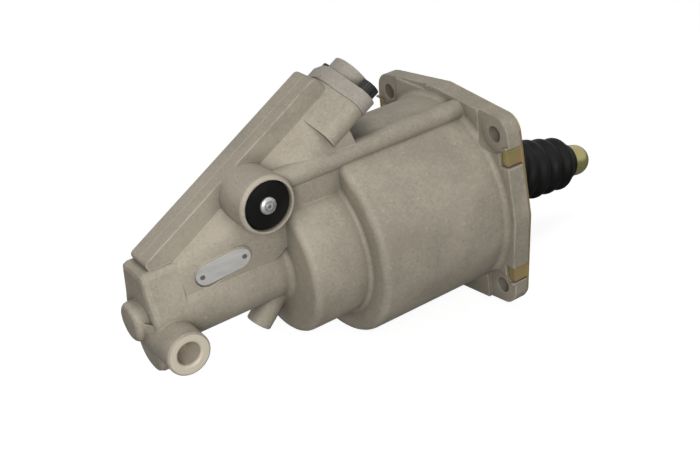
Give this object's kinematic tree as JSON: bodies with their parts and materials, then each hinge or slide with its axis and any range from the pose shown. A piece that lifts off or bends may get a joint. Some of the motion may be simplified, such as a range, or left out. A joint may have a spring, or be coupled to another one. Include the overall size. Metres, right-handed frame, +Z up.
{
  "type": "clutch actuator",
  "caption": "Air-assisted hydraulic clutch actuator: cast housing with stepped cylinders, a tilted control valve on top, a flanged end plate and a push rod under a pleated boot.",
  "frame": {"origin": "centre of the four bolt holes, on the mounting face of the end plate", "axes": "+X along the main axis towards the push rod, +Z up on the side of the control valve, +Y to the left of the valve seen from the push rod's back"},
  "size_m": [0.3082, 0.1226, 0.1559],
  "materials": {
    "cast_aluminium": "sand-blasted die casting",
    "cover_aluminium": "die cast, machined on the collar",
    "zinc_steel": "yellow zinc plated",
    "machined_steel": "turned and ground",
    "spring_steel": "drawn wire, oiled",
    "rubber": "moulded, matt",
    "bronze": "turned",
    "guide_plastic": "moulded",
    "black_screws": "black oxide",
    "bright_steel": "bright",
    "plate_aluminium": "bare sheet"
  },
  "bodies": {
    "housing": {"housing": "cast_aluminium", "end_plate": "zinc_steel", "guide_bush": "bronze", "plunger_seal": "rubber", "gland_circlip": "spring_steel", "preload_spring": "spring_steel", "boot": "rubber", "valve_cover": "cover_aluminium", "cover_oring": "rubber", "cover_screws": "black_screws", "inlet_seat": "bronze", "valve_spring": "spring_steel", "control_spring": "spring_steel", "vent_seat": "guide_plastic", "vent_flap": "rubber", "vent_pin": "bright_steel", "id_plate": "plate_aluminium", "id_rivets": "bright_steel", "gallery_plug": "bright_steel"},
    "piston": {"air_piston": "machined_steel", "piston_seal": "rubber", "guide_ring": "guide_plastic", "plunger": "machined_steel", "plunger_pin": "machined_steel", "rod_retainer": "spring_steel"},
    "push_rod": {"push_rod": "zinc_steel"},
    "control_piston": {"control_piston": "machined_steel", "control_seal": "rubber", "control_plunger": "machined_steel", "control_cup": "rubber"},
    "poppet": {"inlet_poppet": "rubber"}
  },
  "joints": [
    {"name": "piston_slide", "type": "slide", "parent": "housing", "child": "piston", "axis": [1, 0, 0], "range_m": [-0.03, 0], "stiffness_N_per_m": 2000, "springref_m": 0.05, "deforming": ["preload_spring", "boot"]},
    {"name": "push_rod_swivel", "type": "hinge", "parent": "piston", "child": "push_rod", "pos_m": [-0.01, 0, 0], "axis": [0, 1, 0], "range_deg": [-12, 0], "deforming": ["boot"]},
    {"name": "control_piston_slide", "type": "slide", "parent": "housing", "child": "control_piston", "axis": [0.866, 0, 0.5], "range_m": [0, 0.002], "stiffness_N_per_m": 900, "springref_m": -0.004, "deforming": ["control_spring"]},
    {"name": "poppet_slide", "type": "slide", "parent": "housing", "child": "poppet", "axis": [0.866, 0, 0.5], "range_m": [0, 0.002], "deforming": ["valve_spring"]}
  ],
  "couplings": [
    {"joint": "poppet_slide", "follows": "control_piston_slide", "ratio": 1}
  ]
}
